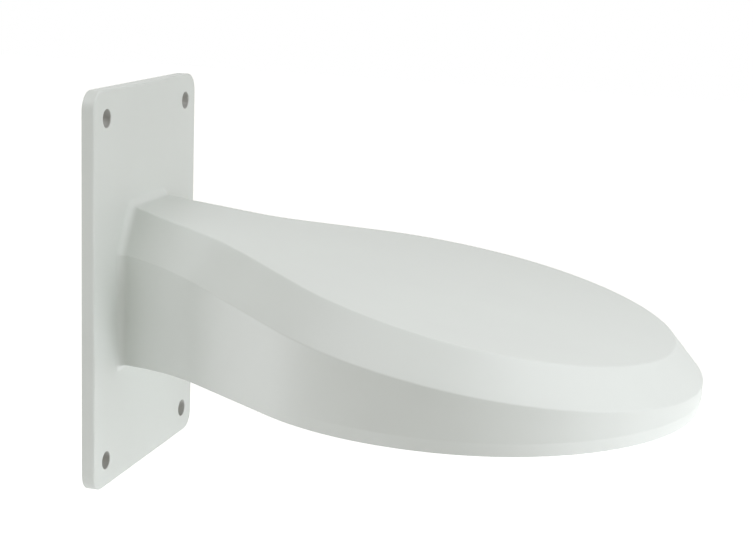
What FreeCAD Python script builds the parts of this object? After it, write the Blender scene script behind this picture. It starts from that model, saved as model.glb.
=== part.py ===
import FreeCAD, Part

import math
import os
from collections import namedtuple

import Sketcher
from FreeCAD import Placement, Rotation, Vector

# Camera wall bracket, one painted aluminium casting.
#
# A flat plate with four screw holes stands on the wall. A hollow arm grows out of it with rounded
# roots and flares into a flat round head, which carries a dome camera on its open underside. The top
# of arm and head is one flat plane that falls away from the wall. A bevel joins it to the upright
# side wall, and a low band round the foot of the head draws in towards the camera.
#
# Frame: the origin is the centre of the plate's back face, on the wall. +X points out of the wall
# and +Z points up. All lengths are millimetres and all angles are degrees.

NODE = "bracket_casting"

# Driving sizes: name, value, what it measures
SIZES = [
    ("plate_height", 150.0, "height of the wall plate"),
    ("plate_width", 94.5, "width of the wall plate"),
    ("plate_thickness", 5.0, "thickness of the wall plate"),
    ("plate_corner_radius", 7.0, "radius of the plate's four corners, seen from the front"),
    ("plate_edge_round", 0.8, "rounding of the plate's front edge"),
    ("screw_inset", 10.4, "distance of a wall screw from the plate's two nearest edges"),
    ("screw_hole_diameter", 6.6, "wall screw hole, clearance for a 6 mm screw"),
    ("screw_lead_diameter", 7.0, "mouth of the wall screw hole, where its edge is broken"),
    ("screw_lead_angle", 90.0, "opening angle of that broken edge"),
    ("underside_drop", 30.0, "underside of arm and head, below the origin"),
    ("top_rise", 30.5, "where the plane of the flat top meets the wall, above the origin"),
    ("top_slope", 10.25, "fall of the flat top, away from the wall"),
    ("shoulder_rise", 13.8, "where the plane of the bevel's foot meets the wall, above the origin"),
    ("shoulder_slope", 8.75, "fall of the bevel's foot, away from the wall"),
    ("arm_half_width", 25.8, "half width of the arm at the wall, where it is narrowest"),
    ("neck_radius", 68.5, "hollow curve of the side wall, from the wall to the flank"),
    ("flank_angle", 35.2, "angle of the straight flanks to the arm's length"),
    ("flank_gap", 2.45, "how far outside the head's circle the line of the flank passes"),
    ("head_radius", 84.5, "outside radius of the round head"),
    ("flare_surplus", 13.5, "how much fuller than the head's circle the curve from flank to head is"),
    ("top_half_width", 13.6, "half width of the flat top at the wall"),
    ("top_opening_angle", 17.9, "angle of the flat top's straight edges to the arm's length"),
    ("top_straight_length", 39.7, "how far those straight edges run out from the wall, along the slope"),
    ("top_neck_radius", 64.0, "hollow curve of the flat top's edge"),
    ("top_flank_gap", 3.47, "how far outside its round end the line of the flat top's flank passes"),
    ("bevel_run", 11.4, "how much smaller than the head the flat top's round end is in radius"),
    ("rim_height", 4.8, "height of the drawn-in band round the foot of the head"),
    ("rim_inset", 1.0, "how far that band draws in at its lower edge"),
    ("crease_radius", 1.2, "rounding of the two long creases, above and below the bevel"),
    ("edge_break", 0.4, "chamfer on the mouth of the recess and on the posts' ends"),
    ("root_radius", 3.0, "rounding where the arm meets the plate"),
    ("wall", 3.5, "thickness of the casting's walls"),
    ("floor", 3.5, "thickness of the arm's underside"),
    ("post_circle", 120.0, "diameter of the circle of camera posts"),
    ("post_bearing", 45.0, "bearing of the first camera post, seen from above"),
    ("post_diameter", 10.0, "diameter of a camera post"),
    ("post_recess", 0.5, "how far the posts' ends stand back from the seat ring"),
    ("post_hole_diameter", 3.3, "camera screw hole before tapping, for a 4 mm screw"),
    ("post_hole_depth", 10.0, "depth of a camera screw hole"),
    ("web_thickness", 3.0, "thickness of the web that ties a post to the side wall"),
    ("web_recess", 8.0, "how far the webs' lower edges stand back from the seat ring"),
]

# Sizes that follow from the driving ones: name, rule, what it measures. Each round end is centred
# where the line of its flank passes the gap outside it.
DERIVED = [
    ("flare_radius", "head_radius + flare_surplus", "full curve from the flank to the head"),
    (
        "head_reach",
        "(head_radius + flank_gap + neck_radius * (1 - cos(flank_angle))"
        " - arm_half_width * cos(flank_angle)) / sin(flank_angle)",
        "centre of the round head, out from the wall",
    ),
    ("top_head_radius", "head_radius - bevel_run", "radius of the flat top's round end"),
    (
        "top_neck_half_width",
        "top_half_width + top_straight_length * tan(top_opening_angle)",
        "half width of the flat top where its neck starts",
    ),
    (
        "top_head_reach",
        "(top_head_radius + top_flank_gap + top_neck_radius * (1 - cos(flank_angle - top_opening_angle))"
        " - top_neck_half_width * cos(flank_angle)) / sin(flank_angle) + top_straight_length",
        "centre of the flat top's round end, out from the wall along the slope",
    ),
]

document = FreeCAD.newDocument("camera_wall_bracket")


def make_sheet():
    """Puts the sizes into a spreadsheet, one row each, the driving ones first."""
    sheet = document.addObject("Spreadsheet::Sheet", "Sizes")
    rows = [(alias, str(value), meaning) for alias, value, meaning in SIZES]
    rows += [(alias, f"={rule}", meaning) for alias, rule, meaning in DERIVED]
    for row, (alias, content, meaning) in enumerate(rows, start=1):
        sheet.set(f"A{row}", alias)
        sheet.set(f"B{row}", content)
        sheet.set(f"C{row}", meaning)
        sheet.setAlias(f"B{row}", alias)
        document.recompute()
    return sheet


sheet = make_sheet()


def value_of(rule):
    """The value of an expression over the sheet."""
    return float(sheet.evalExpression(rule))


def origin_plane(body, role):
    """One of a body's own origin planes."""
    return next(feature for feature in body.Origin.OriginFeatures if feature.Role == role)


def attach(feature, body, role, base, axis, angle):
    """Sets a sketch or plane on an origin plane of its body, moved by base and turned about an axis."""
    feature.AttachmentSupport = (origin_plane(body, role), [""])
    feature.MapMode = "FlatFace"
    feature.AttachmentOffset = Placement(Vector(0, 0, 0), Rotation(axis, 1))
    for direction, rule in base.items():
        feature.setExpression(f"AttachmentOffset.Base.{direction}", rule)
    feature.setExpression("AttachmentOffset.Rotation.Angle", angle)
    document.recompute()


def new_sketch(body, name, role="XY_Plane", height="0", slope="0"):
    """An empty sketch, lifted off an origin plane and falling away from the wall."""
    sketch = body.newObject("Sketcher::SketchObject", name)
    attach(sketch, body, role, {"z": height}, Vector(0, 1, 0), slope)
    return sketch


def new_post_sketch(body, name, height):
    """An empty level sketch over the head's centre, turned to the bearing of the first camera post."""
    sketch = body.newObject("Sketcher::SketchObject", name)
    base = {"x": "Sizes.head_reach", "z": height}
    attach(sketch, body, "XY_Plane", base, Vector(0, 0, 1), "Sizes.post_bearing")
    return sketch


def new_plane(body, name, height, slope):
    """A plane of a body that falls away from the wall."""
    plane = body.newObject("PartDesign::Plane", name)
    attach(plane, body, "XY_Plane", {"z": height}, Vector(0, 1, 0), slope)
    return plane


def new_feature(body, kind, name, profile, **rules):
    """A feature of a body made from a sketch, with its measures bound to the sheet."""
    feature = body.newObject(f"PartDesign::{kind}", name)
    feature.Profile = profile
    for measure, rule in rules.items():
        feature.setExpression(measure, rule)
    document.recompute()
    return feature


def constrain(sketch, name, rule, kind, *parts):
    """Adds a named measure to a sketch and binds it to the sheet."""
    value = math.radians(value_of(rule)) if kind == "Angle" else value_of(rule)
    index = sketch.addConstraint(Sketcher.Constraint(kind, *parts, value))
    sketch.renameConstraint(index, name)
    sketch.setExpression(f"Constraints.{name}", rule)


# Places on a curve, and a sketch's own axes
FIRST, LAST, CENTRE = range(1, 4)
X_AXIS, Y_AXIS = range(-1, -3, -1)

# Points closer than this are one point
CLOSE = 1e-4

# The waisted outline of arm and head, as rules over the sheet. The side runs from the wall to the
# neck, straight at its opening angle, or on the neck's own curve where the opening is None.
Outline = namedtuple("Outline", "root_half opening neck_start neck flank flare centre head")

WALL_OUTLINE = Outline(
    root_half="Sizes.arm_half_width",
    opening=None,
    neck_start="Sizes.neck_radius * sin(Sizes.top_opening_angle)",
    neck="Sizes.neck_radius",
    flank="Sizes.flank_angle",
    flare="Sizes.flare_radius",
    centre="Sizes.head_reach",
    head="Sizes.head_radius",
)
TOP_OUTLINE = Outline(
    root_half="Sizes.top_half_width",
    opening="Sizes.top_opening_angle",
    neck_start="Sizes.top_straight_length",
    neck="Sizes.top_neck_radius",
    flank="Sizes.flank_angle",
    flare="Sizes.flare_radius",
    centre="Sizes.top_head_reach",
    head="Sizes.top_head_radius",
)
RIM_OUTLINE = WALL_OUTLINE._replace(head="Sizes.head_radius - Sizes.rim_inset")


def mirrored(point):
    """The point on the other side of the bracket's middle plane."""
    return Vector(point.x, -point.y, 0)


def heading(angle):
    """The unit vector at an angle to the arm's length."""
    return Vector(math.cos(angle), math.sin(angle), 0)


def arc(centre, radius, first, last):
    """An arc from one direction round to another, against the clock."""
    return Part.ArcOfCircle(Part.Circle(centre, Vector(0, 0, 1), radius), first, last)


def outline_curves(rules):
    """The ten curves of an outline, where every curve runs smoothly into the next."""
    o = Outline(*(rule and value_of(rule) for rule in rules))
    quarter = math.pi / 2
    flank = math.radians(o.flank)
    root = Vector(0, o.root_half, 0)
    if o.opening:
        opening = math.radians(o.opening)
        neck_start = Vector(o.neck_start, o.root_half + o.neck_start * math.tan(opening), 0)
        neck_centre = neck_start + heading(opening + quarter) * o.neck
        side = Part.LineSegment(root, neck_start)
        far_side = Part.LineSegment(mirrored(neck_start), mirrored(root))
    else:
        opening = math.asin(o.neck_start / o.neck)
        neck_centre = Vector(0, o.root_half + o.neck, 0)
        side = arc(neck_centre, o.neck, -quarter, opening - quarter)
        far_side = arc(mirrored(neck_centre), o.neck, quarter - opening, quarter)
    neck_end = neck_centre + heading(flank - quarter) * o.neck
    head_centre = Vector(o.centre, 0, 0)
    # The flare touches the head's circle from outside, at the point it first meets along the flank
    offset = neck_end + heading(flank - quarter) * o.flare - head_centre
    reach = offset.dot(heading(flank))
    flank_length = -reach - math.sqrt(reach**2 - offset.dot(offset) + (o.flare - o.head) ** 2)
    flank_end = neck_end + heading(flank) * flank_length
    flare_centre = flank_end + heading(flank - quarter) * o.flare
    touch = math.atan2(-flare_centre.y, o.centre - flare_centre.x)
    return [
        Part.LineSegment(mirrored(root), root),
        side,
        arc(neck_centre, o.neck, opening - quarter, flank - quarter),
        Part.LineSegment(neck_end, flank_end),
        arc(flare_centre, o.flare, touch, flank + quarter),
        arc(head_centre, o.head, -touch, touch),
        arc(mirrored(flare_centre), o.flare, -flank - quarter, -touch),
        Part.LineSegment(mirrored(flank_end), mirrored(neck_end)),
        arc(mirrored(neck_centre), o.neck, quarter - flank, quarter - opening),
        far_side,
    ]


def draw_outline(sketch, rules):
    """Draws an outline in a sketch and ties it to the sheet."""
    sketch.addGeometry(outline_curves(rules), False)
    end, side, neck, flank, flare, head, far_flare, far_flank, far_neck, far_side = range(10)
    sketch.addConstraint(
        [
            Sketcher.Constraint("Coincident", end, LAST, side, FIRST),
            Sketcher.Constraint("Coincident", far_side, LAST, end, FIRST),
            Sketcher.Constraint("Tangent", side, LAST, neck, FIRST),
            Sketcher.Constraint("Tangent", neck, LAST, flank, FIRST),
            Sketcher.Constraint("Tangent", flank, LAST, flare, LAST),
            Sketcher.Constraint("Tangent", flare, FIRST, head, LAST),
            Sketcher.Constraint("Tangent", head, FIRST, far_flare, LAST),
            Sketcher.Constraint("Tangent", far_flare, FIRST, far_flank, FIRST),
            Sketcher.Constraint("Tangent", far_flank, LAST, far_neck, FIRST),
            Sketcher.Constraint("Tangent", far_neck, LAST, far_side, FIRST),
            Sketcher.Constraint("Symmetric", end, FIRST, end, LAST, X_AXIS),
            Sketcher.Constraint("Symmetric", side, LAST, far_side, FIRST, X_AXIS),
            Sketcher.Constraint("Symmetric", neck, LAST, far_neck, FIRST, X_AXIS),
            Sketcher.Constraint("Equal", flare, far_flare),
            Sketcher.Constraint("PointOnObject", head, CENTRE, X_AXIS),
            Sketcher.Constraint("PointOnObject", end, FIRST, Y_AXIS),
        ]
    )
    if rules.opening:
        constrain(sketch, "Opening", rules.opening, "Angle", side)
    else:
        sketch.addConstraint(
            [
                Sketcher.Constraint("PointOnObject", side, CENTRE, Y_AXIS),
                Sketcher.Constraint("Equal", side, neck),
                Sketcher.Constraint("Equal", side, far_side),
            ]
        )
    constrain(sketch, "RootWidth", f"2 * ({rules.root_half})", "DistanceY", end, FIRST, end, LAST)
    constrain(sketch, "NeckStart", rules.neck_start, "DistanceX", X_AXIS, FIRST, side, LAST)
    constrain(sketch, "NeckRadius", rules.neck, "Radius", neck)
    constrain(sketch, "FlankAngle", rules.flank, "Angle", flank)
    constrain(sketch, "FlareRadius", rules.flare, "Radius", flare)
    constrain(sketch, "HeadReach", rules.centre, "DistanceX", X_AXIS, FIRST, head, CENTRE)
    constrain(sketch, "HeadRadius", rules.head, "Radius", head)
    document.recompute()


def inset(rules, depth):
    """The rules of an outline that runs inside another one, a steady depth away from it."""
    slant = rules.opening or "0"
    turn = rules.opening or "Sizes.top_opening_angle"
    return rules._replace(
        root_half=f"{rules.root_half} - {depth} / cos({slant})",
        neck_start=f"{rules.neck_start} + {depth} * sin({turn})",
        neck=f"{rules.neck} + {depth}",
        flare=f"{rules.flare} - {depth}",
        head=f"{rules.head} - {depth}",
    )


# The bevel's angle to the level, where it leaves the wall. The hollow's bevel runs one wall thickness
# under the outer one, so its creases shift by the half angles of the bends they lie in.
BEVEL = "atan((Sizes.top_rise - Sizes.shoulder_rise) / (Sizes.arm_half_width - Sizes.top_half_width))"
SHOULDER_SHIFT = f"Sizes.wall * tan((90 deg - {BEVEL}) / 2)"
TOP_SHIFT = f"Sizes.wall * tan({BEVEL} / 2)"

RECESS_RADIUS = "Sizes.head_radius - Sizes.rim_inset - Sizes.wall"
HOLLOW_WALLS = inset(WALL_OUTLINE, "Sizes.wall")._replace(head=RECESS_RADIUS)
HOLLOW_TOP = inset(TOP_OUTLINE, TOP_SHIFT)

# The height of the posts' lower ends, and the number of posts
POST_END = "Sizes.post_recess - Sizes.underside_drop"
POST_COUNT = 4
FULL_TURN = 360


def sub_names(shape, kind, test):
    """The names of a shape's faces or edges that pass a test."""
    parts = getattr(shape, kind + "s")
    return [f"{kind}{number}" for number, part in enumerate(parts, start=1) if test(part)]


def slope_faces(shape, slope):
    """The names of the flat faces on top that fall away from the wall by a slope."""
    upright = value_of(f"cos({slope})")

    def lies_on_top(face):
        return isinstance(face.Surface, Part.Plane) and abs(face.normalAt(0, 0).z - upright) < CLOSE

    return sub_names(shape, "Face", lies_on_top)


def slope_edges(shape, height, slope):
    """The names of the edges on a plane that falls away from the wall, but for the one at the wall."""
    top, fall = value_of(height), value_of(f"tan({slope})")

    def on_plane(point):
        return abs(point.z - top + fall * point.x) < CLOSE

    def is_crease(edge):
        points = edge.discretize(Number=5)
        return all(map(on_plane, points)) and max(point.x for point in points) > CLOSE

    return sub_names(shape, "Edge", is_crease)


def rim_edges(shape, height, radius):
    """The names of the round edges of a shape at one height and of one radius."""
    level, size = value_of(height), value_of(radius)

    def is_rim(edge):
        if not isinstance(edge.Curve, Part.Circle):
            return False
        return abs(edge.Curve.Radius - size) < CLOSE and abs(edge.Curve.Center.z - level) < CLOSE

    return sub_names(shape, "Edge", is_rim)


def front_edges(shape):
    """The names of the edges of the plate's front face: its outer edges, and those round the arm's foot."""
    front = value_of("Sizes.plate_thickness")

    def is_front(face):
        offsets = abs(face.BoundBox.XMin - front), abs(face.BoundBox.XMax - front)
        return isinstance(face.Surface, Part.Plane) and max(offsets) < CLOSE

    face = shape.getElement(sub_names(shape, "Face", is_front)[0])
    outer = sub_names(shape, "Edge", lambda edge: any(edge.isSame(other) for other in face.OuterWire.Edges))
    every = sub_names(shape, "Edge", lambda edge: any(edge.isSame(other) for other in face.Edges))
    return outer, [name for name in every if name not in outer]


def dress(body, kind, name, base, edges, **rules):
    """Rounds or breaks some edges of a feature, with the measures bound to the sheet."""
    feature = body.newObject(f"PartDesign::{kind}", name)
    feature.Base = (base, edges)
    for measure, rule in rules.items():
        feature.setExpression(measure, rule)
    document.recompute()
    return feature


def loft(body, name, lower, faces, upper):
    """Joins two outlines with straight lines, curve by curve."""
    feature = body.newObject("PartDesign::AdditiveLoft", name)
    feature.Profile = (lower, faces)
    feature.Sections = [upper]
    feature.Ruled = True
    document.recompute()
    return feature


def bevelled_block(body, name, foot, walls, top, shoulder_height, top_height):
    """An upright block over the wall's outline, with a bevel from its top edge to the flat top."""
    wall_sketch = new_sketch(body, f"{name}Walls", height=foot)
    draw_outline(wall_sketch, walls)
    block = body.newObject("PartDesign::Pad", f"{name}Block")
    block.Profile = wall_sketch
    block.Type = "UpToFace"
    block.UpToFace = (new_plane(body, f"{name}Shoulder", shoulder_height, "Sizes.shoulder_slope"), [""])
    document.recompute()
    top_sketch = new_sketch(body, f"{name}Top", height=top_height, slope="Sizes.top_slope")
    draw_outline(top_sketch, top)
    return loft(body, f"{name}Bevel", block, slope_faces(block.Shape, "Sizes.shoulder_slope"), top_sketch)


def draw_circle(sketch, radius, reach="0"):
    """Draws a circle on the sketch's X axis and ties it to the sheet."""
    centre = Vector(value_of(reach), 0, 0)
    number = sketch.addGeometry(Part.Circle(centre, Vector(0, 0, 1), value_of(radius)), False)
    constrain(sketch, "Radius", radius, "Radius", number)
    if reach == "0":
        sketch.addConstraint(Sketcher.Constraint("Coincident", number, CENTRE, X_AXIS, FIRST))
    else:
        sketch.addConstraint(Sketcher.Constraint("PointOnObject", number, CENTRE, X_AXIS))
        constrain(sketch, "Reach", reach, "DistanceX", X_AXIS, FIRST, number, CENTRE)
    document.recompute()


def draw_box(sketch, left, right, half_height):
    """Draws a rectangle along the sketch's X axis and ties it to the sheet."""
    x0, x1, y = value_of(left), value_of(right), value_of(half_height)
    corners = [Vector(x0, -y, 0), Vector(x1, -y, 0), Vector(x1, y, 0), Vector(x0, y, 0)]
    sketch.addGeometry([Part.LineSegment(a, b) for a, b in zip(corners, corners[1:] + corners[:1])], False)
    for side in range(4):
        sketch.addConstraint(Sketcher.Constraint("Coincident", side, LAST, (side + 1) % 4, FIRST))
    sketch.addConstraint([Sketcher.Constraint("Horizontal", side) for side in (0, 2)])
    sketch.addConstraint(Sketcher.Constraint("Vertical", 1))
    sketch.addConstraint(Sketcher.Constraint("Symmetric", 0, FIRST, 3, FIRST, X_AXIS))
    constrain(sketch, "Left", left, "DistanceX", X_AXIS, FIRST, 0, FIRST)
    constrain(sketch, "Right", right, "DistanceX", X_AXIS, FIRST, 0, LAST)
    constrain(sketch, "Height", f"2 * ({half_height})", "DistanceY", 1, FIRST, 1, LAST)
    document.recompute()


def all_posts(body, feature, sketch):
    """Repeats a feature of the first camera post at the others, round the head's centre."""
    pattern = body.newObject("PartDesign::PolarPattern", f"{feature.Name}s")
    pattern.Originals = [feature]
    pattern.Axis = (sketch, ["N_Axis"])
    pattern.Angle = FULL_TURN
    pattern.Occurrences = POST_COUNT
    body.Tip = pattern
    document.recompute()
    return pattern


def upward_pocket(body, name, sketch):
    """Cuts a sketch's outline out of everything above it."""
    pocket = body.newObject("PartDesign::Pocket", name)
    pocket.Profile = sketch
    pocket.Type = "ThroughAll"
    pocket.Reversed = True
    document.recompute()
    return pocket


def make_core():
    """The hollow: the room for the camera under the head, and the cable channel through the arm."""
    core = document.addObject("PartDesign::Body", "Core")
    bevelled_block(
        core,
        "Hollow",
        "Sizes.floor - Sizes.underside_drop",
        HOLLOW_WALLS,
        HOLLOW_TOP,
        f"Sizes.shoulder_rise - {SHOULDER_SHIFT}",
        "Sizes.top_rise - Sizes.wall / cos(Sizes.top_slope)",
    )
    recess = new_post_sketch(core, "RecessCircle", "-Sizes.underside_drop")
    draw_circle(recess, RECESS_RADIUS)
    new_feature(core, "Pad", "Recess", recess, Length="Sizes.floor")

    # The posts and their webs are left standing where the hollow is cut away
    post = new_post_sketch(core, "PostCircle", POST_END)
    draw_circle(post, "Sizes.post_diameter / 2", "Sizes.post_circle / 2")
    all_posts(core, upward_pocket(core, "Post", post), post)
    web = new_post_sketch(core, "WebOutline", "Sizes.web_recess - Sizes.underside_drop")
    draw_box(web, "Sizes.post_circle / 2", "Sizes.head_radius", "Sizes.web_thickness / 2")
    all_posts(core, upward_pocket(core, "Web", web), web)
    return core


def draw_plate(sketch):
    """Draws the plate's rounded rectangle, centred on the sketch, and ties it to the sheet."""
    radius = value_of("Sizes.plate_corner_radius")
    across, up = value_of("Sizes.plate_width / 2") - radius, value_of("Sizes.plate_height / 2") - radius
    quarter = math.pi / 2
    curves = []
    for turn, (x, y) in enumerate([(across, -up), (across, up), (-across, up), (-across, -up)]):
        centre = Vector(x, y, 0)
        curves.append(arc(centre, radius, (turn - 1) * quarter, turn * quarter))
    for turn, corner in enumerate(curves[:]):
        curves.append(Part.LineSegment(corner.EndPoint, curves[(turn + 1) % 4].StartPoint))
    sketch.addGeometry(curves, False)
    for turn in range(4):
        sketch.addConstraint(Sketcher.Constraint("Tangent", turn, LAST, 4 + turn, FIRST))
        sketch.addConstraint(Sketcher.Constraint("Tangent", 4 + turn, LAST, (turn + 1) % 4, FIRST))
    sketch.addConstraint([Sketcher.Constraint("Equal", 0, turn) for turn in (1, 2, 3)])
    sketch.addConstraint([Sketcher.Constraint("Vertical", side) for side in (4, 6)])
    sketch.addConstraint([Sketcher.Constraint("Horizontal", side) for side in (5, 7)])
    sketch.addConstraint(Sketcher.Constraint("Symmetric", 0, CENTRE, 2, CENTRE, X_AXIS, FIRST))
    constrain(sketch, "Corner", "Sizes.plate_corner_radius", "Radius", 0)
    constrain(sketch, "Width", "Sizes.plate_width", "DistanceX", 6, FIRST, 4, FIRST)
    constrain(sketch, "Height", "Sizes.plate_height", "DistanceY", 7, FIRST, 5, FIRST)
    document.recompute()


def drill(body, name, sketch, diameter, **rules):
    """Drills the sketch's circles into the body."""
    hole = body.newObject("PartDesign::Hole", name)
    hole.Profile = sketch
    hole.ThreadType = "None"
    hole.setExpression("Diameter", diameter)
    for measure, rule in rules.items():
        hole.setExpression(measure, rule)
    document.recompute()
    return hole


def draw_screw_circles(sketch):
    """Draws the four wall screw holes, one in each corner of the plate."""
    across = "Sizes.plate_width / 2 - Sizes.screw_inset"
    up = "Sizes.plate_height / 2 - Sizes.screw_inset"
    x, y, radius = value_of(across), value_of(up), value_of("Sizes.screw_hole_diameter / 2")
    centres = [Vector(x, y, 0), Vector(-x, y, 0), Vector(-x, -y, 0), Vector(x, -y, 0)]
    sketch.addGeometry([Part.Circle(centre, Vector(0, 0, 1), radius) for centre in centres], False)
    sketch.addConstraint([Sketcher.Constraint("Equal", 0, other) for other in (1, 2, 3)])
    sketch.addConstraint(
        [
            Sketcher.Constraint("Symmetric", 0, CENTRE, 1, CENTRE, Y_AXIS),
            Sketcher.Constraint("Symmetric", 0, CENTRE, 3, CENTRE, X_AXIS),
            Sketcher.Constraint("Symmetric", 1, CENTRE, 2, CENTRE, X_AXIS),
        ]
    )
    constrain(sketch, "Radius", "Sizes.screw_hole_diameter / 2", "Radius", 0)
    constrain(sketch, "Across", across, "DistanceX", X_AXIS, FIRST, 0, CENTRE)
    constrain(sketch, "Up", up, "DistanceY", X_AXIS, FIRST, 0, CENTRE)
    document.recompute()


def make_casting(core):
    """The whole bracket: plate, arm and head in one piece, with the hollow and the screw holes."""
    casting = document.addObject("PartDesign::Body", "Casting")
    casting.Label = NODE

    # Arm and head
    rim = new_sketch(casting, "RimOutline", height="-Sizes.underside_drop")
    draw_outline(rim, RIM_OUTLINE)
    shelf = new_sketch(casting, "ShelfOutline", height="Sizes.rim_height - Sizes.underside_drop")
    draw_outline(shelf, WALL_OUTLINE)
    loft(casting, "Rim", rim, [""], shelf)
    block = bevelled_block(
        casting,
        "Arm",
        "Sizes.rim_height - Sizes.underside_drop",
        WALL_OUTLINE,
        TOP_OUTLINE,
        "Sizes.shoulder_rise",
        "Sizes.top_rise",
    )
    creases = slope_edges(block.Shape, "Sizes.shoulder_rise", "Sizes.shoulder_slope")
    creases += slope_edges(block.Shape, "Sizes.top_rise", "Sizes.top_slope")
    dress(casting, "Fillet", "Creases", block, creases, Radius="Sizes.crease_radius")

    # Wall plate
    plate_sketch = new_sketch(casting, "PlateOutline", "YZ_Plane")
    draw_plate(plate_sketch)
    plate = new_feature(casting, "Pad", "Plate", plate_sketch, Length="Sizes.plate_thickness")
    plate_rim, _ = front_edges(plate.Shape)
    plate = dress(casting, "Fillet", "PlateEdge", plate, plate_rim, Radius="Sizes.plate_edge_round")
    _, arm_foot = front_edges(plate.Shape)
    dress(casting, "Fillet", "Root", plate, arm_foot, Radius="Sizes.root_radius")

    # Hollow
    hollowed = casting.newObject("PartDesign::Boolean", "Hollowed")
    hollowed.Type = "Cut"
    hollowed.setObjects([core])
    document.recompute()
    mouth = rim_edges(hollowed.Shape, "-Sizes.underside_drop", RECESS_RADIUS)
    mouth += rim_edges(hollowed.Shape, POST_END, "Sizes.post_diameter / 2")
    dress(casting, "Chamfer", "Mouth", hollowed, mouth, Size="Sizes.edge_break")

    # Screw holes
    screws = new_sketch(casting, "ScrewCircles", "YZ_Plane", "Sizes.plate_thickness")
    draw_screw_circles(screws)
    screw_holes = drill(casting, "ScrewHoles", screws, "Sizes.screw_hole_diameter")
    screw_holes.DepthType = "ThroughAll"
    screw_holes.HoleCutType = "Countersink"
    screw_holes.HoleCutCustomValues = True
    screw_holes.setExpression("HoleCutCountersinkAngle", "Sizes.screw_lead_angle")
    screw_holes.setExpression("HoleCutDiameter", "Sizes.screw_lead_diameter")
    document.recompute()
    post = new_post_sketch(casting, "PostHoleCircle", POST_END)
    draw_circle(post, "Sizes.post_hole_diameter / 2", "Sizes.post_circle / 2")
    post_hole = drill(casting, "PostHole", post, "Sizes.post_hole_diameter", Depth="Sizes.post_hole_depth")
    post_hole.Reversed = True
    document.recompute()
    all_posts(casting, post_hole, post)
    return casting


def check(document):
    """Stops if any object of the document failed, or if its shape is empty or faulty."""
    for item in document.Objects:
        if "Invalid" in item.State or "Error" in item.State:
            raise RuntimeError(f"{item.Name}: {item.getStatusString()}")
        if hasattr(item, "Tip") and (item.Tip.Shape.isNull() or not item.Tip.Shape.isValid()):
            raise RuntimeError(f"{item.Name} has a faulty shape")


casting = make_casting(make_core())
check(document)
if len(casting.Tip.Shape.Solids) != 1:
    raise RuntimeError("the casting is not one solid")
os.makedirs("parts", exist_ok=True)
casting.Tip.Shape.exportStep(f"parts/{casting.Label}.step")
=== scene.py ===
"""Looks of the camera wall bracket: one powder-coated casting, seen as in the photograph.

The casting's skin is worked out with numpy from the same sizes as the part's source, finer than the
frame's own mesh, so that its round head, its long creases and its rounded roots shade smoothly.
Sizes are in millimetres and degrees, in the part's frame: the origin on the wall, +X out of it and
+Z up. They become metres where a mesh is made. Floor and lamps are set out in metres.
"""

import logging
import math
from dataclasses import dataclass, field, replace
from enum import Enum

import bmesh
import bpy
import numpy as np
from mathutils import Matrix, Vector
from mathutils.geometry import tessellate_polygon


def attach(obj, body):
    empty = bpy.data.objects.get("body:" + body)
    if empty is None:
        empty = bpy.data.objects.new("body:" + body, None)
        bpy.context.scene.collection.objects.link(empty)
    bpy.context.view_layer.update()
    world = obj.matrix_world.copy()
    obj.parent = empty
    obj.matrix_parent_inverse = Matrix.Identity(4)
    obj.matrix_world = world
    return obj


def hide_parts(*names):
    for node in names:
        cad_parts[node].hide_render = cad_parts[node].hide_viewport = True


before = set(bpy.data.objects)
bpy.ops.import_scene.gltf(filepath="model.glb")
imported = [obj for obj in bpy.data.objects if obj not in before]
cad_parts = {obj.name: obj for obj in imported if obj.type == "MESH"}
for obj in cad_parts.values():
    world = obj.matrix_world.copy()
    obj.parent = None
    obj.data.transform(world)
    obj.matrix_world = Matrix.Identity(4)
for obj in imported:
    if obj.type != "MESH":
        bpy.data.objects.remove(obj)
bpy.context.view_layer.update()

Triple = tuple[float, float, float]
Inputs = dict[int | str, object]
# Points and directions along a flat curve
Curve = tuple[np.ndarray, np.ndarray]

LOG = logging.getLogger("bracket")
MM = 0.001
NODE = "bracket_casting"
WHITE = (1.0, 1.0, 1.0, 1.0)

FULL_TURN = 360.0
QUARTER = math.pi / 2
OUT = np.array([1.0, 0.0, 0.0])
ACROSS = np.array([0.0, 1.0, 0.0])
UP = np.array([0.0, 0.0, 1.0])
MIRROR = np.array([1.0, -1.0, 1.0])
# A direction that lies along no axis
OBLIQUE = np.array([0.3, 0.5, 0.8])
# Points nearer to each other than this become one
MERGE = 0.0005
# How far a drill reaches past the face it opens
OVER = 1.0
# Number of an outline's last curve, the head's arc, counted from 0 at the wall
LAST_CURVE = 4
# The object's middle, which most lamps look at, in metres
MIDDLE = (0.12, 0.0, 0.0)


class RootLine(Enum):
    """How an outline's side leaves the wall."""

    STRAIGHT = "straight, at an angle"
    CURVED = "on the neck's own curve"


class Operation(Enum):
    """What a tool shape does to a body."""

    ADD = "UNION"
    CUT = "DIFFERENCE"


class Maths(Enum):
    """What a maths node works out."""

    ABSOLUTE = "ABSOLUTE"
    DISTANCE = "DISTANCE"
    LESS_THAN = "LESS_THAN"
    MAXIMUM = "MAXIMUM"
    MULTIPLY = "MULTIPLY"


def heading(angle: float) -> np.ndarray:
    """The unit vector at an angle to the arm's length, seen from above."""
    return np.array([math.cos(angle), math.sin(angle)])


def level_ray(angle: float) -> np.ndarray:
    """The level unit vector in space at an angle to the arm's length."""
    return np.append(heading(angle), 0.0)


def unit(vectors: np.ndarray) -> np.ndarray:
    """The vectors scaled to length one."""
    return vectors / np.linalg.norm(vectors, axis=-1, keepdims=True)


def square_to(vectors: np.ndarray, along: np.ndarray) -> np.ndarray:
    """The unit part of some vectors that is square to the unit vectors along."""
    return unit(vectors - np.sum(vectors * along, axis=-1, keepdims=True) * along)


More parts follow.
